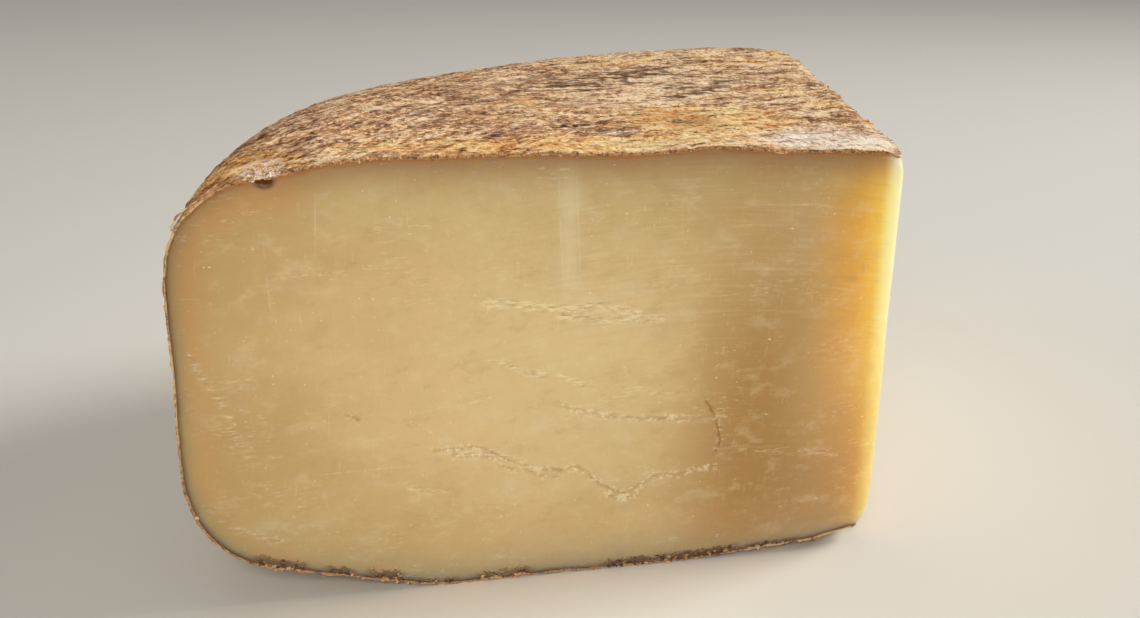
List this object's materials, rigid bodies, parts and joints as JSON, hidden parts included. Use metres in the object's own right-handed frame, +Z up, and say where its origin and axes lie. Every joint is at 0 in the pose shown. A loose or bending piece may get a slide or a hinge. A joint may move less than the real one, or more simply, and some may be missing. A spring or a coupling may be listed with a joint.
{
  "type": "sheep milk cheese",
  "caption": "Cut piece of a hard sheep's milk cheese with a natural rind: two smooth cuts, a rounded rim, resting flat on its underside.",
  "frame": {"origin": "under the middle of the piece's box, on the surface that the piece rests on", "axes": "+X along the front cut from the rind to the point, +Y away from the front cut into the piece, +Z up through the height of the wheel"},
  "size_m": [0.1617, 0.1392, 0.0896],
  "materials": {
    "paste": "smooth waxy cut surface, slightly see-through, pale ivory yellow",
    "rind": "dry wrinkled natural rind, tan to grey brown with whitish mould"
  },
  "bodies": {
    "root": {"cheese_piece": "paste"}
  },
  "joints": []
}
